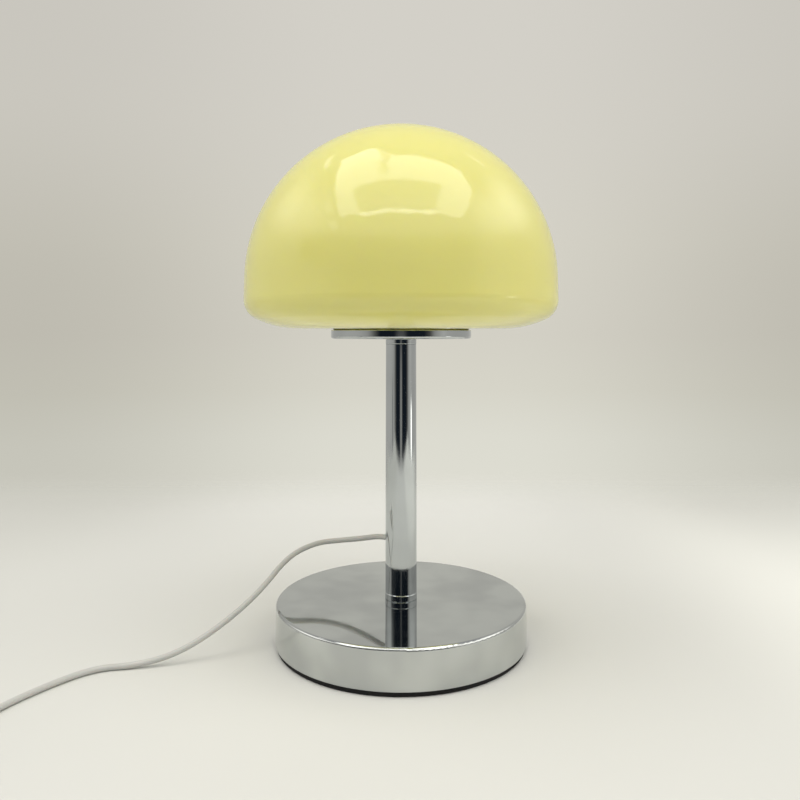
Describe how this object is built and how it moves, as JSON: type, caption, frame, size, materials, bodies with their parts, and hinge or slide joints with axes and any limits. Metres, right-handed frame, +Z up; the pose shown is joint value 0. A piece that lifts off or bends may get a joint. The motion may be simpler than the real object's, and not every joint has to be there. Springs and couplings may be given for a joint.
{
  "type": "mushroom table lamp",
  "caption": "Mushroom table lamp: domed opal glass shade that lifts off a shallow dish on a straight metal column with a round weighted base, and a thin cord with rocker switch and plug",
  "frame": {"origin": "middle of the foot pad's lower face, on the table", "axes": "+Z up along the column, +X to the right and -Y to the viewer in the picture"},
  "size_m": [0.3898, 0.217, 0.29],
  "materials": {
    "opal_glass": "pale yellow opal, glossy",
    "chrome_plate": "polished chrome plate",
    "weight_iron": "as cast",
    "zinc_steel": "zinc plated",
    "foot_rubber": "matt black foam rubber",
    "bush_rubber": "matt",
    "seat_silicone": "clear silicone",
    "sink_aluminium": "turned",
    "board_white": "white solder mask on aluminium",
    "emitter_yellow": "phosphor",
    "diffuser_opal": "opal",
    "cord_jacket": "satin light grey",
    "switch_plastic": "fine grain",
    "rocker_plastic": "glossy",
    "plug_plastic": "fine grain",
    "insulator_plastic": "moulded",
    "plug_steel": "nickel plated",
    "contact_brass": "bright"
  },
  "bodies": {
    "lamp": {"foot_pad": "foot_rubber", "base_shell": "chrome_plate", "base_weight": "weight_iron", "base_bolt": "zinc_steel", "base_spring_washer": "zinc_steel", "base_flat_washer": "zinc_steel", "lower_ferrule": "chrome_plate", "column_tube": "chrome_plate", "cord_grommet": "bush_rubber", "upper_ferrule": "chrome_plate", "shade_dish": "chrome_plate", "shade_seat_ring": "seat_silicone", "threaded_nipple": "zinc_steel", "dish_washer": "zinc_steel", "dish_nut": "zinc_steel", "led_heat_sink": "sink_aluminium", "led_board": "board_white", "led_emitters": "emitter_yellow", "led_screws": "zinc_steel", "led_diffuser": "diffuser_opal", "inner_cord": "cord_jacket", "cord_to_switch": "cord_jacket", "switch_base": "switch_plastic", "switch_cover": "switch_plastic", "switch_contacts": "contact_brass", "switch_screws": "zinc_steel", "switch_sleeves": "cord_jacket", "cord_to_coil": "cord_jacket", "cord_coil": "cord_jacket", "cord_to_plug": "cord_jacket", "usb_housing": "plug_plastic", "usb_shell": "plug_steel", "usb_insulator": "insulator_plastic", "usb_contacts": "contact_brass"},
    "shade": {"glass_shade": "opal_glass"},
    "rocker": {"switch_rocker": "rocker_plastic"}
  },
  "joints": [
    {"name": "shade_lift", "type": "slide", "parent": "lamp", "child": "shade", "axis": [0, 0, 1], "range_m": [0, 0.06]},
    {"name": "rocker_tip", "type": "hinge", "parent": "lamp", "child": "rocker", "pos_m": [-0.242, -0.118, 0.0094], "axis": [0, -1, 0], "range_deg": [0, 20]}
  ]
}
